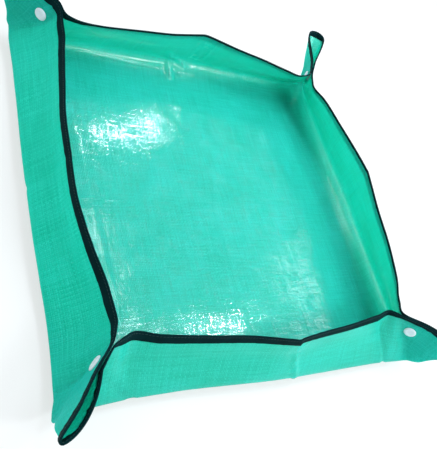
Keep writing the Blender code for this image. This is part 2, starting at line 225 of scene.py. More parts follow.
def half_length(h):
    """Half of a wall's length at one height; below the fold line, h runs in over the floor."""
    return HALF_BASE - PINCH_SHARE * np.maximum(h, 0) + np.minimum(h, 0)


def axes_matrix(x, y, z, place):
    return Matrix([(x[k], y[k], z[k], place[k]) for k in range(3)] + [(0, 0, 0, 1)])


def eased(place, places, values):
    """Cubic curve through the values, straight into its first one and level at the last."""
    places = np.asarray(places)
    values = np.asarray(values)
    slopes = np.gradient(values, places)
    slopes[0] = (values[1] - values[0]) / (places[1] - places[0])
    slopes[-1] = 0.0
    i = np.clip(np.searchsorted(places, place) - 1, 0, len(places) - 2)
    step = places[i + 1] - places[i]
    t = np.clip((place - places[i]) / step, 0, 1)
    return (
        (2 * t**3 - 3 * t**2 + 1) * values[i]
        + (t**3 - 2 * t**2 + t) * step * slopes[i]
        + (3 * t**2 - 2 * t**3) * values[i + 1]
        + (t**3 - t**2) * step * slopes[i + 1]
    )


class Wall:
    """One standing wall, laid out by the distance along its fold line and the height up it."""

    def __init__(self, name, spec):
        quarter = spec["turns"] * pi / 2
        self.name = name
        self.spec = spec
        self.along = cos(quarter) * X + sin(quarter) * Y
        self.inward = -sin(quarter) * X + cos(quarter) * Y
        self.fold_middle = -HALF_BASE * self.inward + SHEET_THICKNESS * UP
        self.ends = {}

    def lean_share(self, s):
        pinch = np.where(s > 0, self.ends[True].pinch_place, self.ends[False].pinch_place)
        fold = self.spec["fold_share"] * pinch
        is_end = s > fold
        reach = (s - fold) / (np.where(is_end, pinch, -pinch) - fold)
        places = LEAN_PLACE_SHARES + (1.0,)
        start, end = (eased(reach, places, self.spec[side] + (PINCH_SHARE,))
                      for side in ("start", "end"))
        return np.where(reach >= 1, PINCH_SHARE, np.where(is_end, end, start))

    def flat(self, u, h):
        """Place on the flat sheet of a share of the wall's length at one height."""
        half = half_length(h)
        s = lerp(-half, half, u)
        place = column(s) * self.along - column(HALF_BASE + h) * self.inward
        return place[..., :2]

    def place(self, u, h):
        """Point of the inner face for a share of the wall's length at one height."""
        half = half_length(h)
        near_fold = sqrt(2) * np.clip(h / FOLD_REACH, 0, 1)
        start = -half + near_fold * self.ends[False].spread
        end = half - near_fold * self.ends[True].spread
        s = lerp(start, end, u)
        lean = self.lean_share(s)
        up = np.maximum(h, 0)
        over = np.where(h > 0, h * lean, -h)
        rise = up * np.sqrt(1 - lean**2)
        return (self.fold_middle + column(s) * self.along + column(over) * self.inward
                + column(rise) * UP)

    def tape_legs(self, width):
        """Widths of the tape's outer and inner legs at both ends and midway."""
        start, end = (self.ends[is_end].halves[self.name] for is_end in (False, True))
        return ((start.outer_legs[0], width, end.outer_legs[0]),
                (start.inner_legs[0], TAPE_INNER_WIDTH, end.inner_legs[0]))


class Ear:
    """One pinched corner: two half ears with a snap through them, fold V-T between them."""

    def __init__(self, name, spec):
        first, second = (walls[w] for w in spec["walls"])
        self.name = name
        self.spec = spec
        self.swing = radians(spec["swing"])
        self.swell_top = spec["swell_top"] * MM
        self.spread = SNAP_STACK / 2 / cos(self.swing)
        self.pinch_place = HALF_BASE - sqrt(2) * self.spread - PINCH_INSET
        self.halves = {}
        out = -unit(first.inward + second.inward)
        self.across = unit(first.along - first.inward)
        self.corner = -HALF_BASE * (first.inward + second.inward) + SHEET_THICKNESS * UP
        rise = sqrt(WALL_HEIGHT**2 - PINCH_INSET**2)
        pinch = -sqrt(2) * PINCH_INSET * out + rise * UP
        self.fold_length = np.linalg.norm(pinch)
        self.up_fold = unit(pinch)
        level_out = unit(out - (out @ self.up_fold) * self.up_fold)
        self.outward = cos(self.swing) * level_out + sin(self.swing) * self.across
        self.facing = cos(self.swing) * self.across - sin(self.swing) * level_out
        self.foot = self.corner - self.spread * out
        self.tip = np.array(spec["tip_shares"]) * FLAT_DIAGONAL
        self.pinch = np.array((0.0, self.fold_length))
        edge = unit(self.tip - self.pinch)
        self.edge_inward = np.array((edge[1], -edge[0]))
        self.snap_place = self.find_snap_place()
        for wall, is_end, side in ((first, False, 1), (second, True, -1)):
            wall.ends[is_end] = self
            self.halves[wall.name] = HalfEar(self, wall, is_end, side)

    def find_snap_place(self):
        """The snap sits a set way in from the sheet's edge, with its cap clear of the fold."""
        fold_margin, edge_distance = (length * MM for length in self.spec["snap"])
        x = CAP_DIAMETER / 2 + fold_margin + self.spread * abs(sin(self.swing))
        across_edge = edge_distance - x * self.edge_inward[0]
        return np.array((x, self.fold_length + across_edge / self.edge_inward[1]))

    def shares(self, x, y):
        """Share of the way from fold V-P to fold V-T, and share of the way to the free edge."""
        slope = (self.fold_length - self.tip[1]) / self.tip[0]
        reach = (y + x * slope) / self.fold_length
        return x / (reach * self.tip[0]), reach

    def half_gap(self, turn, reach, side):
        """Distance from the ear's middle plane to the inner face of one half."""
        flat = SNAP_STACK / 2
        bend = np.clip((turn - EAR_FLAT_SHARE) / (1 - EAR_FLAT_SHARE), 0, 1)
        rise, early, late = self.spec["bows"][0 if side > 0 else 1]
        peak = early / (early + late)
        bow = bend**early * (1 - bend)**late / (peak**early * (1 - peak)**late)
        return lerp(flat, 0.0, bend**2) + rise * MM * bow * reach**1.5


class HalfEar:
    """Half of an ear, joined to the end of its wall along the line from V to P."""

    def __init__(self, ear, wall, is_end, side):
        self.ear = ear
        self.wall = wall
        self.side = side
        self.name = ear.name + "_" + wall.name
        self.hinge_foot = ear.foot + side * ear.spread * ear.across
        way = 1 if is_end else -1
        corner = ear.corner[:2]
        outward = -wall.inward[:2]
        self.flat_corner = corner
        self.flat_pinch = WALL_HEIGHT * outward - PINCH_INSET * way * wall.along[:2]
        self.flat_tip = WALL_HEIGHT * (outward + way * wall.along[:2])
        first, second, inner, inner_start = ear.spec["tape"]
        self.outer_legs = [width * MM for width in (first if side > 0 else second)]
        self.inner_legs = [inner_start * MM, inner * MM]

    def tape_legs(self, _):
        """Widths of the tape's outer and inner legs at the pinch, midway and at the tip."""
        (pinch, tip), (inner_pinch, inner) = self.outer_legs, self.inner_legs
        return (pinch, pinch, tip), (inner_pinch, inner, inner)

    def flat(self, turn, reach):
        """Place on the flat sheet for a share of the turn and a share of the reach."""
        spot = lerp(self.flat_pinch, self.flat_tip, column(turn))
        return self.flat_corner + column(reach) * spot

    def place(self, turn, reach):
        """Point of the inner face."""
        ear = self.ear
        spot = column(reach) * lerp(ear.pinch, ear.tip, column(turn))
        offset = self.side * (ear.half_gap(turn, reach, self.side) - SNAP_STACK / 2)
        skin = (self.hinge_foot + column(spot[..., 0]) * ear.outward
                + column(spot[..., 1]) * ear.up_fold + column(offset) * ear.facing)
        near_corner = np.clip(reach * WALL_HEIGHT / FOLD_REACH, 0, 1)
        return skin + column(1 - near_corner) * (ear.corner - self.hinge_foot)

    def snap_spot(self):
        """The snap's place from the hinge foot, out along the ear and up its fold."""
        x, y = self.ear.snap_place
        return x - self.side * self.ear.spread * sin(self.ear.swing), y

    def snap_flat(self):
        return self.flat(*self.ear.shares(*self.snap_spot()))

    def snap_axis(self):
        """The snap's middle on the inner face, and its outward direction."""
        x, y = self.snap_spot()
        middle = self.hinge_foot + x * self.ear.outward + y * self.ear.up_fold
        return middle + self.nudge_at(self.snap_flat()), self.side * self.ear.facing

    def nudge_at(self, flat):
        """How the sheet is nudged beside its free edge, all alike under the snap."""
        total = np.zeros(np.shape(flat)[:-1] + (3,))
        near = self.near_snap(flat)
        way = unit(self.flat_tip - self.flat_pinch)
        for whose, beyond, depth, spread, move in NUDGES[self.ear.name]:
            if whose in ("both", self.wall.name):
                middle = (self.flat_corner + self.flat_pinch + beyond * MM * way
                          + depth * MM * self.wall.inward[:2])
                weight = lerp(bell(away_from(flat, middle), spread * MM),
                              bell(away_from(self.snap_flat(), middle), spread * MM), near)
                total += column(weight) * np.array(move) * MM
        return total

    def near_snap(self, flat):
        away = away_from(flat, self.snap_flat())
        return 1 - smooth_step(away, SNAP_FLAT_RADIUS, SNAP_EASE_RADIUS)

    def closing_at(self, flat):
        """How this half comes in against the other at the pinch."""
        local = flat - self.flat_corner
        ahead, aside = ahead_and_aside(local, unit(self.flat_pinch))
        along_fold = bell(aside, CLOSE_FOLD_SPREAD) * smooth_step(ahead, 0, WALL_HEIGHT / 2)
        weight = np.maximum(bell(away_from(local, self.flat_pinch), CLOSE_SPREAD), along_fold)
        weight = weight * (1 - self.near_snap(flat))
        way = -self.side * (SNAP_STACK - CLOSE_GAP) / 2
        return column(weight) * way * self.ear.facing


walls = {name: Wall(name, spec) for name, spec in WALLS.items()}
ears = {name: Ear(name, spec) for name, spec in CORNERS.items()}
halves = [half for ear in ears.values() for half in ear.halves.values()]


class Patch:
    """One piece of the sheet: a grid of places, with its spots on the shared surface."""

    def __init__(self, name, flat, place):
        self.name = name
        self.rows, self.columns = flat.shape[0] - 1, flat.shape[1] - 1
        self.flat = flat
        self.place = place
        self.spots = None


def floor_patch():
    half = HALF_BASE - FOLD_REACH
    line = np.linspace(-half, half, SIDE_COLUMNS + 1)
    x, y = np.meshgrid(line, line)
    level = np.full_like(x, SHEET_THICKNESS)
    return Patch("floor", np.stack((x, y), -1), np.stack((x, y, level), -1))


def wall_heights():
    below = np.linspace(-FOLD_REACH, 0, FOLD_ROWS + 1)[:-1]
    return np.concatenate((below, np.linspace(0, WALL_HEIGHT, WALL_ROWS + 1)))


def wall_patch(wall):
    u, h = np.meshgrid(np.linspace(0, 1, SIDE_COLUMNS + 1), wall_heights())
    return Patch(wall.name, wall.flat(u, h), wall.place(u, h))


def ear_patch(half):
    turn = np.linspace(0, 1, EAR_COLUMNS + 1)
    turn, reach = np.meshgrid(turn, np.linspace(0, 1, WALL_ROWS + 1))
    return Patch(half.name, half.flat(turn, reach), half.place(turn, reach))


def join_patches(patches):
    """Give every patch its spots on one surface, joined wherever flat places coincide."""
    flat = np.concatenate([p.flat.reshape(-1, 2) for p in patches])
    place = np.concatenate([p.place.reshape(-1, 3) for p in patches])
    keys = np.round(flat / (0.01 * MM)).astype(int)
    unique, first, spots = np.unique(keys, axis=0, return_index=True, return_inverse=True)
    ends = np.cumsum([(p.rows + 1) * (p.columns + 1) for p in patches])
    for patch, own in zip(patches, np.split(spots.reshape(-1), ends)):
        patch.spots = own.reshape(patch.rows + 1, patch.columns + 1)
    return flat[first], place[first]


def surface_edges(patches):
    """Pairs of neighbouring spots."""
    pairs = np.concatenate([np.stack((a.ravel(), b.ravel()), 1)
                            for spots in (patch.spots for patch in patches)
                            for a, b in ((spots[:, :-1], spots[:, 1:]), (spots[:-1], spots[1:]))])
    pairs = pairs[pairs[:, 0] != pairs[:, 1]]
    return np.unique(np.sort(pairs, axis=1), axis=0)


patch_flips = set(walls) | {half.name for half in halves if half.side < 0}


def vertex_normals(place, patches):
    """Mean direction of the inner face at each spot, pointing into the tray."""
    normals = np.zeros_like(place)
    for patch in patches:
        spots = patch.spots
        a, b, c, d = spots[:-1, :-1], spots[:-1, 1:], spots[1:, 1:], spots[1:, :-1]
        face = np.cross(place[c] - place[a], place[d] - place[b])
        if patch.name in patch_flips:
            face = -face
        for corner in (a, b, c, d):
            np.add.at(normals, corner.ravel(), face.reshape(-1, 3))
    length = np.linalg.norm(normals, axis=1, keepdims=True)
    return normals / np.maximum(length, 1e-12)


def rounding(flat):
    """How softly each spot of the sheet rounds: most along the wall folds, none at the snaps."""
    weight = bell(past_fold(flat), FOLD_SPREAD)
    for half in halves:
        for line, softness in ((half.flat_pinch, PINCH_SOFTNESS),
                               (half.flat_tip, EAR_TIP_SOFTNESS)):
            ahead, aside = ahead_and_aside(flat - half.flat_corner, unit(line))
            near = softness * bell(aside, PINCH_SPREAD) * (ahead > 0)
            weight = np.maximum(weight, near)
    for half in halves:
        weight *= 1 - half.near_snap(flat)
    return weight


def corner_softness(flat):
    """How softly the sheet rounds where the folds of one corner meet."""
    return np.max([bell(away_from(flat, ear.corner[:2]), CORNER_SPREAD)
                   for ear in ears.values()], axis=0)


def even_out(flat, place, pairs, weight, steps):
    """Even out the surface by a weight; its free edge only evens out along itself."""
    on_edge = past_fold(flat) > WALL_HEIGHT - 0.1 * MM
    spots, others = np.concatenate((pairs, pairs[:, ::-1])).T
    pulled = on_edge[others] | ~on_edge[spots]
    spots, others = spots[pulled], others[pulled]
    count = np.bincount(spots, minlength=len(place))
    weight = column(weight * 0.5)
    for _ in range(steps):
        mean = np.stack([np.bincount(spots, place[others, k], len(place)) for k in range(3)], 1)
        mean /= np.maximum(count, 1)[:, None]
        place = place + weight * (mean - place)
    return place


def swell(flat):
    """How the sheet sags outward round its folds, as a movement of each spot."""
    move = np.zeros((len(flat), 3))
    for wall in walls.values():
        s = flat @ wall.along[:2]
        h = -(flat @ wall.inward[:2]) - HALF_BASE
        past = np.abs(s) - HALF_BASE
        own = np.sqrt(smooth_step(h - past, -SWELL_JOIN, SWELL_JOIN))
        ear_top = np.where(s > 0, wall.ends[True].swell_top, wall.ends[False].swell_top)
        top = lerp(SWELL_TOP, ear_top, smooth_step(past, *SWELL_END_EASE))
        height = smooth_step(h, -FOLD_REACH, SWELL_PEAK) * (1 - smooth_step(h, SWELL_PEAK, top))
        most = eased(s / HALF_BASE, SWELL_PLACES, wall.spec["swell"]) * MM
        move -= column(own * height * most) * wall.inward
        ramp = np.clip((h + RAMP_REACH) / RAMP_REACH, 0, 1)
        ramp = ramp**2 * (3 - ramp) / 2 * (1 - smooth_step(h, 0, SWELL_TOP))
        move += column(own * ramp * wall.spec["ramp"] * MM) * UP
    return move


def waves(flat, period, seed, height):
    """Smooth uneven waves of about one period, up to their height either way."""
    return height * np.array([noise.noise((u / period, v / period, seed)) for u, v in flat])


# Waves of the sheet: period, seed and height; the floor keeps a share of the finer ones
BROAD_WAVES = (120 * MM, 3.1, 1.4 * MM)
MIDDLE_WAVES = (52 * MM, 7.7, 0.55 * MM)
FINE_WAVES = (19 * MM, 1.9, 0.10 * MM)
FLOOR_FINE_SHARE = 0.5
FLOOR_WAVE_SHARE = 0.9
FLOOR_LIFT = 0.6 * MM

# Where the floor lies flattest: place on the flat sheet and radius in millimetres
CALM_PLACES = ((-40, -150, 85), (40, -160, 90))
CALM_SHARE = 0.8

CREASE_START, CREASE_END = (-0.05, 0.06), (0.94, 1.05)

# Creases left by packing, on the flat sheet in millimetres: start, end, height and half width
CREASES = (
    ((-6, -226), (4, 10), 0.35, 5),
    ((8, -300), (37, -230), -2.2, 6),
    ((168, -284), (190, -228), 2.2, 5),
    ((-206, -272), (-161, -228), 2.0, 5),
    ((300, 24), (226, 19), 0.8, 7),
    ((226, 19), (0, 6), 0.35, 5),
    ((10, 300), (26, 232), 0.9, 7),
    ((26, 232), (6, 0), 0.35, 5),
    ((-300, 2), (-226, -4), 0.9, 8),
    ((-226, -4), (0, 0), 0.35, 5),
    ((-24, 252), (-14, 200), 3.2, 7),
    ((-22, 246), (10, 222), 2.6, 7),
    ((-175, 190), (-156, -125), 0.35, 4),
)


def relief(flat):
    """Height of the waves and packing creases over the smooth sheet."""
    on_floor = 1 - smooth_step(past_fold(flat), -FOLD_REACH, 0)
    finer = waves(flat, *MIDDLE_WAVES) + waves(flat, *FINE_WAVES)
    height = waves(flat, *BROAD_WAVES) + finer * lerp(1, FLOOR_FINE_SHARE, on_floor)
    for *place, radius in CALM_PLACES:
        height *= 1 - CALM_SHARE * bell(away_from(flat, np.array(place) * MM), radius * MM)
    height = lerp(height, np.maximum(height * FLOOR_WAVE_SHARE + FLOOR_LIFT, 0), on_floor)
    for start, end, rise, width in CREASES:
        line = (np.array(end) - start) * MM
        ahead, aside = ahead_and_aside(flat - np.array(start) * MM, unit(line))
        share = ahead / np.linalg.norm(line)
        ends = smooth_step(share, *CREASE_START) * (1 - smooth_step(share, *CREASE_END))
        height += rise * MM * np.maximum(1 - aside / (width * MM), 0) ** 1.5 * ends
    for half in halves:
        away = away_from(flat, half.snap_flat())
        height *= smooth_step(away, SNAP_FLAT_RADIUS, 2 * SNAP_EASE_RADIUS)
    return height


class Surface:
    """The whole sheet as one surface: flat places, points of the inner face and directions."""

    def __init__(self):
        self.patches = [floor_patch()]
        self.patches += [wall_patch(wall) for wall in walls.values()]
        self.patches += [ear_patch(half) for half in halves]
        self.flat, place = join_patches(self.patches)
        pairs = surface_edges(self.patches)
        place = even_out(self.flat, place, pairs, rounding(self.flat), SMOOTHING_STEPS)
        place = place + swell(self.flat)
        for half in halves:
            place = place + half.nudge_at(self.flat) + half.closing_at(self.flat)
        place = even_out(self.flat, place, pairs, corner_softness(self.flat), CORNER_STEPS)
        normals = vertex_normals(place, self.patches)
        place = place + column(relief(self.flat)) * normals
        self.place = place
        self.normals = vertex_normals(place, self.patches)
        self.by_name = {patch.name: patch for patch in self.patches}


@lru_cache(maxsize=1)
def surface():
    return Surface()


# Meshes
def patch_grid(columns, rows):
    """Grid of faces, and for each vertex its column and row."""
    bm = bmesh.new()
    bmesh.ops.create_grid(bm, x_segments=columns, y_segments=rows, size=1)
    cells = [(round((v.co.x + 1) / 2 * columns), round((v.co.y + 1) / 2 * rows))
             for v in bm.verts]
    return bm, cells


def new_object(name, bm, material):
    mesh = bpy.data.meshes.new(name)
    bm.to_mesh(mesh)
    bm.free()
    mesh.materials.append(material)
    obj = bpy.data.objects.new(name, mesh)
    bpy.context.scene.collection.objects.link(obj)
    return obj


def sheet_piece(patch, material):
    """One piece of the sheet with its thickness, shaded as part of the whole surface."""
    whole = surface()
    bm, cells = patch_grid(patch.columns, patch.rows)
    spot_layer = bm.verts.layers.int.new("spot")
    flat_layer = bm.verts.layers.float_vector.new("flat")
    for vert, (i, j) in zip(bm.verts, cells):
        spot = int(patch.spots[j, i])
        vert[spot_layer] = spot
        vert.co = whole.place[spot]
    bmesh.ops.remove_doubles(bm, verts=bm.verts, dist=0.001 * MM)
    made = bmesh.ops.extrude_face_region(bm, geom=bm.faces[:], use_keep_orig=True)
    outer = {item for item in made["geom"] if isinstance(item, bmesh.types.BMVert)}
    for vert in bm.verts:
        spot = vert[spot_layer]
        vert[flat_layer] = (*whole.flat[spot], 1.0 if vert in outer else 0.0)
        if vert in outer:
            vert.co = whole.place[spot] - SHEET_THICKNESS * whole.normals[spot]
    bmesh.ops.recalc_face_normals(bm, faces=bm.faces)
    if bm.calc_volume(signed=True) < 0:
        bmesh.ops.reverse_faces(bm, faces=bm.faces)
    directions = []
    for face in bm.faces:
        face.smooth = True
        sides = {vert in outer for vert in face.verts}
        for vert in face.verts:
            if len(sides) == 2:
                directions.append(face.normal[:])
            else:
                direction = whole.normals[vert[spot_layer]]
                directions.append(-direction if vert in outer else direction)
    obj = new_object("sheet_" + patch.name, bm, material)
    obj.data.normals_split_custom_set(directions)
    return obj


# Materials
class Nodes:
    """Short ways to add nodes to a material or to the world."""

    def __init__(self, owner, shader="Principled BSDF"):
        owner.use_nodes = True
        self.tree = owner.node_tree
        self.shader = self.tree.nodes[shader]

    def add(self, kind, inputs=(), **settings):
        node = self.tree.nodes.new("ShaderNode" + kind)
        for name, value in settings.items():
            setattr(node, name, value)
        for key, value in dict(inputs).items():
            self.feed(node.inputs[key], value)
        return node

    def feed(self, socket, value):
        if isinstance(value, bpy.types.NodeSocket):
            self.tree.links.new(value, socket)
        else:
            socket.default_value = value

    def look(self, values):
        """Set or link inputs of the shader."""
        for key, value in values.items():
            self.feed(self.shader.inputs[key], value)

    def math(self, operation, *values, clamp=False):
        node = self.add("Math", enumerate(values), operation=operation, use_clamp=clamp)
        return node.outputs[0]

    def total(self, *terms, clamp=False):
        """Sum of pairs of a value and its share."""
        result = 0.0
        for value, share in terms:
            result = self.math("MULTIPLY_ADD", value, share, result, clamp=clamp)
        return result

    def noise(self, vector, scale, detail=2.0):
        node = self.add("TexNoise", {"Vector": vector, "Scale": scale, "Detail": detail})
        return node.outputs[0]

    def mix(self, share, first, second):
        node = self.add("Mix", {0: share, 2: first, 3: second}, data_type="FLOAT")
        return node.outputs[0]

    def mix_colour(self, share, first, second):
        pair = [item if isinstance(item, bpy.types.NodeSocket) else (*item, 1)
                for item in (first, second)]
        node = self.add("Mix", {0: share, 6: pair[0], 7: pair[1]}, data_type="RGBA")
        return node.outputs[2]

    def spread(self, value, low, high, to_low=0.0, to_high=1.0):
        node = self.add("MapRange", {0: value, 1: low, 2: high, 3: to_low, 4: to_high})
        return node.outputs[0]

    def bump(self, socket, height, distance, strength=0.8):
        node = self.add("Bump", {"Height": height, "Distance": distance, "Strength": strength})
        self.look({socket: node.outputs[0]})

    def two_tones(self, vector, scale, detail, first, second):
        """Uneven base colour between two colours; gives the noise behind it."""
        tone = self.noise(vector, scale, detail)
        self.look({"Base Color": self.mix_colour(self.spread(tone, 0.3, 0.7), first, second)})
        return tone

    def show_seen(self, output, seen, share):
        """Show the camera and reflections a share of another shader."""
        path = self.add("LightPath")
        rays = path.outputs["Is Camera Ray"]
        for name in ("Is Glossy Ray", "Is Transmission Ray"):
            rays = self.math("ADD", rays, path.outputs[name], clamp=True)
        mix = self.add("MixShader", {0: self.math("MULTIPLY", rays, share),
                                     1: self.shader.outputs[0], 2: seen.outputs[0]})
        self.feed(self.tree.nodes[output].inputs[0], mix.outputs[0])


def new_material(name):
    material = bpy.data.materials.new(name)
    return material, Nodes(material)


def woven(nodes, vector, pitch):
    """Height of a plain weave of flat tapes, and which way the upper tape runs."""
    parts = nodes.add("SeparateXYZ", {0: vector})
    su, sv = (nodes.math("SINE", nodes.math("MULTIPLY", parts.outputs[k], pi / pitch))
              for k in (0, 1))
    across_u, across_v = (nodes.math("POWER", nodes.math("ABSOLUTE", s), 0.6) for s in (su, sv))
    over = nodes.math("GREATER_THAN", nodes.math("MULTIPLY", su, sv), 0.0)
    warp = nodes.math("MULTIPLY", across_u, nodes.math("ADD", across_v, 1.2))
    weft = nodes.math("MULTIPLY", across_v, nodes.math("ADD", across_u, 1.0))
    return nodes.mix(over, weft, warp), over


# Noises of the sheet's looks: scale and detail
TONE = (14.0, 3.0)
WEAR = (30.0, 4.0)
GLOSS_PATCHES = (30.0, 3.0)
FILM = (55.0, 3.0)
DENTS = (45.0, 2.0)
GRAIN = (420.0, 2.0)

# Strokes along the weave: how thin across, how many a pitch, and detail
STREAKS = (0.05, 0.9, 2.0)
DASHES = (0.10, 0.5, 1.0)
LINES = (0.08, 1.0, 1.0)

# Ranges of the sheet's looks: from, to, and what the ends become
WEAVE_ROUGHNESS = (0.3, 0.7, 0.34, 0.46)
# GROOVE: weave heights over which painted shade darkens the grooves between the tapes
GROOVE = (0.0, 0.7)
SCUFFED = (4 * MM, 22 * MM, 1.0, 0.0)
LINE_GLOSS = (0.49, 0.64, 0.12, 1.0)
PATCH_GLOSS = (0.38, 0.58, 0.45, 1.0)
WALL_GLOSS = (HALF_BASE + 4 * MM, HALF_BASE + 20 * MM, 0.0, 0.7)
FILM_ROUGHNESS = (0.35, 0.65, 0.055, 0.085)
WORN_ROUGHNESS = (0.0, 70 * MM, 0.0, 0.09)
CORNER_REACH = 40 * MM

# The sheet's inner and outer faces
OUTER_ROUGHNESS = 0.62
SPECULAR = (0.10, 0.04)
OUTER_GLOSS = (0.05, 0.46)
# Painted shade: how much darker than the sheet's shade colour the weave's grooves are painted
PAINTED_GROOVE_SHADE = 0.6
WEAVE_BUMP = 0.10 * MM


def sheet_material(sizes):
    material, nodes = new_material("Laminated weave")
    flat = nodes.add("Attribute", attribute_name="flat", attribute_type="GEOMETRY")
    place = flat.outputs["Vector"]
    height, over = woven(nodes, place, sizes.weave_pitch)
    x, y, is_outer = nodes.add("SeparateXYZ", {0: place}).outputs

    def strokes(thinness, count, detail):
        """Noise drawn out along each way of the weave."""
        for u, v in ((thinness, 1.0), (1.0, thinness)):
            scaled = [nodes.math("MULTIPLY", x, u), nodes.math("MULTIPLY", y, v)]
            vector = nodes.add("CombineXYZ", enumerate(scaled)).outputs[0]
            yield nodes.noise(vector, count / sizes.weave_pitch, detail)

    tone = nodes.total((nodes.mix(over, *strokes(*STREAKS)), 0.7),
                       (nodes.noise(place, *TONE), 0.3))
    base = nodes.mix_colour(nodes.spread(tone, 0.35, 0.65), sizes.sheet_shade, sizes.sheet_colour)
    # Painted shade: the grooves between the weave's tapes are darkened in the base colour
    painted_groove_shade = [c * PAINTED_GROOVE_SHADE for c in sizes.sheet_shade]
    rough = nodes.spread(nodes.noise(place, *WEAR), *WEAVE_ROUGHNESS)

    out = nodes.math("MAXIMUM", nodes.math("ABSOLUTE", x), nodes.math("ABSOLUTE", y))
    off_fold = nodes.math("ABSOLUTE", nodes.math("SUBTRACT", out, HALF_BASE))
    scuffed = nodes.spread(off_fold, *SCUFFED)
    on_wall = nodes.spread(out, *WALL_GLOSS)
    dashes = nodes.math("MAXIMUM", *strokes(*DASHES))
    lines = nodes.spread(nodes.math("MAXIMUM", *strokes(*LINES)), *LINE_GLOSS)
    patchy = nodes.spread(nodes.noise(place, *GLOSS_PATCHES), *PATCH_GLOSS)
    gloss = nodes.total((lines, patchy), (scuffed, 0.3), (on_wall, 1.0), clamp=True)
    at_front = nodes.spread(y, -HALF_BASE, CORNER_REACH - HALF_BASE, 1, 0)
    at_side = nodes.spread(nodes.math("ABSOLUTE", x), HALF_BASE - CORNER_REACH, HALF_BASE, 1, 0)
    outer_gloss = nodes.mix(nodes.math("MULTIPLY", at_front, at_side), *OUTER_GLOSS)
    film_rough = nodes.spread(nodes.noise(place, *FILM), *FILM_ROUGHNESS)
    worn = nodes.spread(x, *WORN_ROUGHNESS)
    nodes.look({
        "Base Color": nodes.mix_colour(nodes.spread(height, *GROOVE), painted_groove_shade, base),
        "Roughness": nodes.mix(is_outer, rough, OUTER_ROUGHNESS),
        "Specular IOR Level": nodes.mix(is_outer, *SPECULAR),
        "Subsurface Weight": 1.0,
        "Subsurface Radius": (0.6, 1.0, 0.9),
        "Subsurface Scale": 3 * MM,
        "Coat Weight": nodes.mix(is_outer, gloss, outer_gloss),
        "Coat Roughness": nodes.total((film_rough, 1.0), (worn, 1.0), (scuffed, 0.10),
                                      (on_wall, 0.25)),
    })
    film = nodes.total((height, 0.06), (nodes.noise(place, *GRAIN), 0.10), (dashes, 1.6),
                       (nodes.noise(place, *DENTS), 1.5))
    nodes.bump("Normal", height, WEAVE_BUMP)
    nodes.bump("Coat Normal", film, WEAVE_BUMP)
    return material


TAPE_PITCH = 0.55 * MM


def tape_material(sizes):
    material, nodes = new_material("Binding tape")
    run = nodes.add("Attribute", attribute_name="run", attribute_type="GEOMETRY")
    place = run.outputs["Vector"]
    nodes.two_tones(place, 90.0, 3.0, [c * 0.7 for c in sizes.tape_colour], sizes.tape_colour)
    nodes.look({"Roughness": 0.72, "Specular IOR Level": 0.035})
    nodes.bump("Normal", woven(nodes, place, TAPE_PITCH)[0], 0.06 * MM)
    return material


def thread_material(sizes):
    material, nodes = new_material("Thread")
    place = nodes.add("TexCoord").outputs["Object"]
    tone = nodes.two_tones(place, 1800.0, 2.0, sizes.tape_colour,
                           [c * 1.9 + 0.002 for c in sizes.tape_colour])
    nodes.look({"Roughness": 0.5, "Specular IOR Level": 0.3})
    nodes.bump("Normal", tone, 0.05 * MM)
    return material


def snap_material(sizes):
    material, nodes = new_material("Snap plastic")
    place = nodes.add("TexCoord").outputs["Object"]
    nodes.two_tones(place, 260.0, 3.0, [c * 0.93 for c in sizes.snap_colour], sizes.snap_colour)
    nodes.look({"Roughness": nodes.spread(nodes.noise(place, 900.0), 0.3, 0.7, 0.26, 0.36),
                "Subsurface Weight": 0.1, "Subsurface Scale": 1.0 * MM})
    nodes.bump("Normal", nodes.noise(place, 1500.0), 0.01 * MM, 0.5)
    return material


@lru_cache(maxsize=None)
def finish_of(kind):
    sizes = bpy.context.scene.repotting_mat
    makers = {"sheet": sheet_material, "binding": tape_material, "thread": thread_material,
              "snap": snap_material}
    return makers[kind](sizes)


# Binding
PUCKER_SCALE = 170
PUCKER_RISE = 0.16 * MM
PUCKER_END_COLUMNS = 3
TIP_COVER_REACH = (4 * MM, 15 * MM)
# How much further the inner leg covers the tip, and how far the tape's inner edges wander
WALL_TAPE_FINISH = (0.0, 0.35 * MM)
EAR_TAPE_FINISH = (3.5 * MM, 2.0 * MM)
INNER_WOBBLE_SHARE = 1.6
WOBBLE_FROM_SHARE = 0.7
LEG_STEPS = 6


def tape_profile():
    """Places across the folded tape's middle layer: share of the width in from the edge, or
    less than nothing as a distance past it, and distance off the sheet."""
    inner = TAPE_CLEARANCE + TAPE_THICKNESS / 2
    outer = -(SHEET_THICKNESS + inner)
    middle, half = (inner + outer) / 2, (inner - outer) / 2
    leg = np.linspace(1, 0, LEG_STEPS)
    turn = np.radians(np.linspace(90, -90, 7)[1:-1])
    profile = [(depth, inner) for depth in leg]
    profile += [(-half * cos(a), middle + half * sin(a)) for a in turn]
    profile += [(depth, outer) for depth in leg[::-1]]
    return profile


def edge_point(patch, i, depth, off):
    """Point beside the free edge: in from it along the sheet, and off the sheet."""
    whole = surface()
    step = WALL_HEIGHT / WALL_ROWS
    row = patch.rows - max(depth, 0) / step
    low = min(int(row), patch.rows - 1)
    share = row - low
    a, b = patch.spots[low, i], patch.spots[low + 1, i]
    point = lerp(whole.place[a], whole.place[b], share)
    direction = unit(lerp(whole.normals[a], whole.normals[b], share))
    if depth < 0:
        point = point - depth * unit(whole.place[b] - whole.place[a])
    return point + off * direction


def edge_run(patch):
    """Distance along the free edge of one patch at each of its columns."""
    steps = np.diff(surface().place[patch.spots[-1]], axis=0)
    return np.concatenate(((0,), np.cumsum(np.linalg.norm(steps, axis=1))))


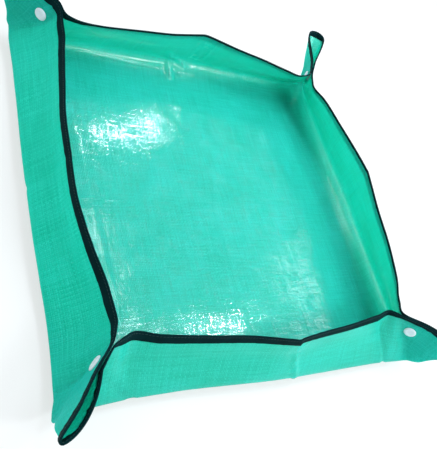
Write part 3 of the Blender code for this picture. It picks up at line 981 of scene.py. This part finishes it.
def tape_piece(patch, material, widths, tip_cover, wobble):
    """Tape folded over the edge of one patch; widths are of its outer and inner legs."""
    profile = tape_profile()
    bm, cells = patch_grid(patch.columns, len(profile) - 1)
    run_layer = bm.verts.layers.float_vector.new("run")
    run = edge_run(patch)
    for vert, (i, j) in zip(bm.verts, cells):
        share, off = profile[j]
        depth = share
        ease = min(i / PUCKER_END_COLUMNS, (patch.columns - i) / PUCKER_END_COLUMNS, 1.0)
        pucker = noise.noise((run[i] * PUCKER_SCALE, j // 8 * 5.0, 2.0)) * ease
        if share > 0:
            to_end = run[-1] - run[i]
            at_start, midway, at_end = widths[0 if off < 0 else 1]
            leg = lerp(at_start, midway, smooth_step(run[i], 0, TAPE_EASE))
            leg = lerp(at_end, leg, smooth_step(to_end, 0, TAPE_EASE))
            if off > 0:
                leg += tip_cover * (1 - smooth_step(to_end, *TIP_COVER_REACH))
            if share > WOBBLE_FROM_SHARE:
                leg += wobble * pucker * (INNER_WOBBLE_SHARE if off > 0 else 1.0)
            depth = share * leg
        if share >= 0:
            off += (1 if off > 0 else -1) * PUCKER_RISE * max(0.0, pucker)
        vert.co = edge_point(patch, i, depth, off)
        vert[run_layer] = (run[i], depth if off > 0 else -depth, 0)
    bmesh.ops.recalc_face_normals(bm, faces=bm.faces)
    for face in bm.faces:
        face.smooth = True
    tape = new_object("tape_" + patch.name, bm, material)
    solid = tape.modifiers.new("Thickness", "SOLIDIFY")
    solid.thickness = TAPE_THICKNESS
    solid.offset = 0
    return tape


def one_stitch():
    """Mesh of one stitch, lying along X."""
    bm = bmesh.new()
    bmesh.ops.create_uvsphere(bm, u_segments=6, v_segments=5, radius=STITCH_RADIUS,
                              matrix=Matrix.Rotation(pi / 2, 4, "Y"))
    bmesh.ops.scale(bm, verts=bm.verts, vec=(STITCH_LENGTH / 2 / STITCH_RADIUS, 1, 1))
    mesh = bpy.data.meshes.new("stitch")
    bm.to_mesh(mesh)
    bm.free()
    return mesh


def stitch_row(patch, material):
    """Lockstitches along the binding of one patch, on both of its faces."""
    edge_normals = surface().normals[patch.spots[-1]]
    run = edge_run(patch)
    count = int(run[-1] / STITCH_PITCH)
    stitch = one_stitch()
    bm = bmesh.new()
    lie = TAPE_CLEARANCE + TAPE_THICKNESS
    for k in range(count):
        at = (k + 0.5) / count * run[-1]
        i = min(int(np.searchsorted(run, at, side="right")) - 1, patch.columns - 1)
        share = (at - run[i]) / (run[i + 1] - run[i])
        for off in (lie, -SHEET_THICKNESS - lie):
            start = edge_point(patch, i, STITCH_DEPTH, off)
            end = edge_point(patch, i + 1, STITCH_DEPTH, off)
            way = unit(end - start)
            out = unit(off * lerp(edge_normals[i], edge_normals[i + 1], share))
            slant = unit(way + STITCH_SLANT * unit(np.cross(out, way)))
            across = unit(np.cross(out, slant))
            out = np.cross(slant, across)
            matrix = axes_matrix(slant, across, out, lerp(start, end, share))
            stitch.transform(matrix)
            bm.from_mesh(stitch)
            stitch.transform(matrix.inverted())
    for face in bm.faces:
        face.smooth = True
    bpy.data.meshes.remove(stitch)
    return new_object("stitching_" + patch.name, bm, material)


# Snaps: profile of radius and height in millimetres, rounding of its corners, and sides
CAP = (((0, 0), (7.5, 0), (7.5, 0.85), (6.3, 1.75), (4.4, 1.9), (3.3, 1.45), (0, 1.4)), 0.7, 48)
STUD = (((0, 0), (5.7, 0), (5.7, 0.8), (2.8, 0.9), (3.1, 1.7), (2.6, 2.1), (0, 2.1)), 0.3, 32)
SOCKET = (((1.9, 0), (5.7, 0), (5.7, 1.6), (4.9, 2.0), (3.6, 2.0), (3.4, 0.7), (1.9, 0.7),
           (1.9, 0)), 0.3, 32)
SNAP_CLEARANCE = 0.05 * MM
MOST_ROUNDED_SHARE = 0.45
SHARP_ANGLE = 40


def rounded(points, radius, steps=4):
    """Profile in metres with each inner corner rounded off."""
    points = np.array(points) * MM
    result = [points[0]]
    for before, at, after in zip(points, points[1:], points[2:]):
        back, ahead = before - at, after - at
        cut = min(radius * MM, np.linalg.norm(back) * MOST_ROUNDED_SHARE,
                  np.linalg.norm(ahead) * MOST_ROUNDED_SHARE)
        start, end = at + unit(back) * cut, at + unit(ahead) * cut
        for t in np.linspace(0, 1, steps + 1):
            result.append((1 - t)**2 * start + 2 * t * (1 - t) * at + t**2 * end)
    return result + [points[-1]]


def turned(name, spec, middle, axis, up, material):
    """Round piece turned from its profile, set on its own axis."""
    points, radius, sides = spec
    bm = bmesh.new()
    verts = [bm.verts.new((r, 0, height)) for r, height in rounded(points, radius)]
    edges = [bm.edges.new(pair) for pair in zip(verts, verts[1:])]
    bmesh.ops.spin(bm, geom=verts + edges, cent=(0, 0, 0), axis=(0, 0, 1), angle=2 * pi,
                   steps=sides, use_merge=True, use_duplicate=False)
    bmesh.ops.remove_doubles(bm, verts=bm.verts, dist=0.01 * MM)
    side = unit(np.cross(up, axis))
    bm.transform(axes_matrix(side, np.cross(axis, side), axis, middle))
    bmesh.ops.recalc_face_normals(bm, faces=bm.faces)
    obj = new_object(name, bm, material)
    obj.data.shade_smooth()
    obj.data.set_sharp_from_angle(angle=radians(SHARP_ANGLE))
    return obj


# Operators
class MatSizes(bpy.types.PropertyGroup):
    weave_pitch: bpy.props.FloatProperty(
        name="Weave pitch", description="Width of one tape of the sheet's weave",
        default=2.1 * MM, min=0.5 * MM, max=5 * MM, unit="LENGTH")
    tape_width: bpy.props.FloatProperty(
        name="Binding width", description="Width of the binding on each face of the sheet",
        default=TAPE_WIDTH, min=4 * MM, max=16 * MM, unit="LENGTH")
    sheet_colour: bpy.props.FloatVectorProperty(
        name="Sheet", description="Colour of the sheet", subtype="COLOR", size=3,
        default=(0.020, 0.575, 0.455), min=0, max=1)
    sheet_shade: bpy.props.FloatVectorProperty(
        name="Sheet shade", description="Colour of the sheet's darker tapes",
        subtype="COLOR", size=3, default=(0.007, 0.44, 0.31), min=0, max=1)
    tape_colour: bpy.props.FloatVectorProperty(
        name="Binding", description="Colour of the binding", subtype="COLOR", size=3,
        default=(0.0012, 0.021, 0.023), min=0, max=1)
    snap_colour: bpy.props.FloatVectorProperty(
        name="Snaps", description="Colour of the press snaps", subtype="COLOR", size=3,
        default=(0.80, 0.88, 0.93), min=0, max=1)


def follow(piece, part):
    """Let a piece ride on its wall; a piece of a half ear only has its place baked into its mesh.
    """
    if part in halves:
        start = part.hinge_foot
        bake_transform(piece)
        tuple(start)
    else:
        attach(piece, "wall_" + part.name)


class MAT_OT_lay_sheet(bpy.types.Operator):
    """Lay out the floor, the walls and the half ears of the sheet"""
    bl_idname = "mat.lay_sheet"
    bl_label = "Lay sheet"

    def execute(self, context):
        whole = surface()
        material = finish_of("sheet")
        for patch in whole.patches:
            piece = sheet_piece(patch, material)
            if patch.name == "floor":
                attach(piece, "floor")
                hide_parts("floor_panel")
        for wall in walls.values():
            piece = bpy.data.objects["sheet_" + wall.name]
            way = unit(BLEND_RISE * UP - BLEND_OUT * wall.inward)
            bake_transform(piece)
            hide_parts("wall_" + wall.name)
        for half in halves:
            piece = bpy.data.objects["sheet_" + half.name]
            follow(piece, half)
            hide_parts("ear_" + half.name)
        return {"FINISHED"}


class MAT_OT_bind_edges(bpy.types.Operator):
    """Fold the binding tape over the free edges of the walls and the ears"""
    bl_idname = "mat.bind_edges"
    bl_label = "Bind edges"

    def execute(self, context):
        whole = surface()
        material = finish_of("binding")
        width = context.scene.repotting_mat.tape_width
        for part in (*walls.values(), *halves):
            finish = EAR_TAPE_FINISH if part in halves else WALL_TAPE_FINISH
            tape = tape_piece(whole.by_name[part.name], material, part.tape_legs(width), *finish)
            follow(tape, part)
            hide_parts("binding_" + part.name)
        return {"FINISHED"}


class MAT_OT_sew_binding(bpy.types.Operator):
    """Sew the binding to the sheet with a row of lockstitches"""
    bl_idname = "mat.sew_binding"
    bl_label = "Sew binding"

    def execute(self, context):
        whole = surface()
        material = finish_of("thread")
        for part in (*walls.values(), *halves):
            row = stitch_row(whole.by_name[part.name], material)
            follow(row, part)
        return {"FINISHED"}


class MAT_OT_press_snaps(bpy.types.Operator):
    """Turn the caps, studs and sockets of the four press snaps"""
    bl_idname = "mat.press_snaps"
    bl_label = "Press snaps"

    def execute(self, context):
        material = finish_of("snap")
        for half in halves:
            middle, axis = half.snap_axis()
            body = "ear_" + half.name
            up = half.ear.up_fold
            seat = middle + (SHEET_THICKNESS + SNAP_CLEARANCE) * axis
            cap = turned("cap_" + half.name, CAP, seat, axis, up, material)
            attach(cap, body)
            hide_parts("snap_cap_" + half.name)
            kind, spec = ("stud", STUD) if half.side > 0 else ("socket", SOCKET)
            inner = turned(kind + "_" + half.ear.name, spec, middle - SNAP_CLEARANCE * axis,
                           -axis, up, material)
            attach(inner, body)
            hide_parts("snap_" + kind + "_" + half.ear.name)
        return {"FINISHED"}


# Stage
CAMERA_PLACE = (-0.38603, -0.32566, 0.51074)
CAMERA_RIGHT = (0.83622101, -0.24365126, 0.49129268)
CAMERA_UP = (-0.02792868, 0.87579354, 0.48187722)
CAMERA_BACK = (-0.54768094, -0.41667701, 0.7255521)
CAMERA_LENS, CAMERA_SENSOR = 45.05, 36
STAGE_SIZE = 4.0
STAGE_COLOUR = (0.86, 0.87, 0.87, 1)
STAGE_DROP = 0.05 * MM
STAGE_WHITE_SHARE = 0.6
WORLD_COLOUR = (0.92, 0.97, 1.0, 1)
WORLD_STRENGTH = 0.57

# Lamps: place, direction of the first side, size in metres, strength in watts and colour
COOL = (0.80, 0.92, 1.0)
LAMPS = {
    "lamp_window": ((0.485, 0.965, 1.05), (1, 0.5, 0), (0.25, 0.06), 2.6, COOL),
    "lamp_ceiling": ((0.69, 0.177, 1.05), (1, -0.04, 0), (0.17, 0.022), 1.5, COOL),
    "lamp_ceiling_far": ((0.45, 0.187, 1.05), (1, -0.04, 0), (0.32, 0.015), 0.40, COOL),
    "lamp_above": ((0.26, 0.18, 1.05), (-0.2, 1, 0), (0.78, 0.20), 4.8, COOL),
    "lamp_front_right": ((0.52, -0.62, 0.96), (1, 0, 0), (0.44, 0.24), 6.9, (0.88, 0.96, 1.0)),
    "lamp_left": ((-1.12, 0.48, 1.38), (0, 1, 0), (0.64, 0.54), 4.9, (1, 1, 1)),
    "lamp_right": ((1.18, 0.30, 1.05), (0, 1, 0), (0.36, 0.26), 1.9, COOL),
    "lamp_behind": ((1.15, 0.10, 0.60), (0, 1, 0), (0.35, 0.35), 4.5, COOL),
}


def add_lamp(name, place, run, size, power, colour):
    """Add an area lamp that faces the middle of the mat."""
    data = bpy.data.lights.new(name, "AREA")
    data.shape = "RECTANGLE"
    data.size, data.size_y = size
    data.energy = power
    data.color = colour
    lamp = bpy.data.objects.new(name, data)
    back = Vector(place).normalized()
    side = (Vector(run) - Vector(run).dot(back) * back).normalized()
    lamp.matrix_world = axes_matrix(side, back.cross(side), back, place)
    bpy.context.scene.collection.objects.link(lamp)


class MAT_OT_set_stage(bpy.types.Operator):
    """Set the pale floor, the soft lamps, the world and the camera"""
    bl_idname = "mat.set_stage"
    bl_label = "Set stage"

    def execute(self, context):
        scene = context.scene
        scene.view_settings.view_transform = "Standard"
        bm = bmesh.new()
        bmesh.ops.create_grid(bm, x_segments=1, y_segments=1, size=STAGE_SIZE)
        bmesh.ops.translate(bm, verts=bm.verts, vec=(0, 0, -STAGE_DROP))
        material, nodes = new_material("Stage floor")
        nodes.look({"Base Color": STAGE_COLOUR, "Roughness": 0.9, "Specular IOR Level": 0.1})
        nodes.show_seen("Material Output", nodes.add("Emission"), STAGE_WHITE_SHARE)
        new_object("stage_floor", bm, material)

        scene.world = bpy.data.worlds.new("Soft light")
        nodes = Nodes(scene.world, "Background")
        nodes.look({0: WORLD_COLOUR, 1: WORLD_STRENGTH})
        nodes.show_seen("World Output", nodes.add("Background", {0: (1, 1, 1, 1)}), 1.0)

        for name, lamp in LAMPS.items():
            add_lamp(name, *lamp)

        data = bpy.data.cameras.new("camera")
        data.lens = CAMERA_LENS
        data.sensor_width = CAMERA_SENSOR
        data.clip_start = 0.01
        camera = bpy.data.objects.new("camera", data)
        camera.matrix_world = axes_matrix(CAMERA_RIGHT, CAMERA_UP, CAMERA_BACK, CAMERA_PLACE)
        scene.collection.objects.link(camera)
        scene.camera = camera
        return {"FINISHED"}


class MAT_PT_build(bpy.types.Panel):
    """Lists the steps that build the mat"""
    bl_idname = "MAT_PT_build"
    bl_label = "Repotting mat"
    bl_space_type = "VIEW_3D"
    bl_region_type = "UI"
    bl_category = "Mat"

    def draw(self, context):
        sizes = context.scene.repotting_mat
        for name in ("weave_pitch", "tape_width", "sheet_colour", "sheet_shade",
                     "tape_colour", "snap_colour"):
            self.layout.prop(sizes, name)
        for step in STEPS:
            self.layout.operator(step.bl_idname)


STEPS = (MAT_OT_lay_sheet, MAT_OT_bind_edges, MAT_OT_sew_binding, MAT_OT_press_snaps,
         MAT_OT_set_stage)
CLASSES = (MatSizes, *STEPS, MAT_PT_build)


def register():
    for item in CLASSES:
        bpy.utils.register_class(item)
    bpy.types.Scene.repotting_mat = bpy.props.PointerProperty(type=MatSizes)


def unregister():
    del bpy.types.Scene.repotting_mat
    for item in reversed(CLASSES):
        bpy.utils.unregister_class(item)


def main():
    register()
    bpy.ops.mat.lay_sheet()
    bpy.ops.mat.bind_edges()
    bpy.ops.mat.sew_binding()
    bpy.ops.mat.press_snaps()
    bpy.ops.mat.set_stage()


if __name__ == "__main__":
    main()
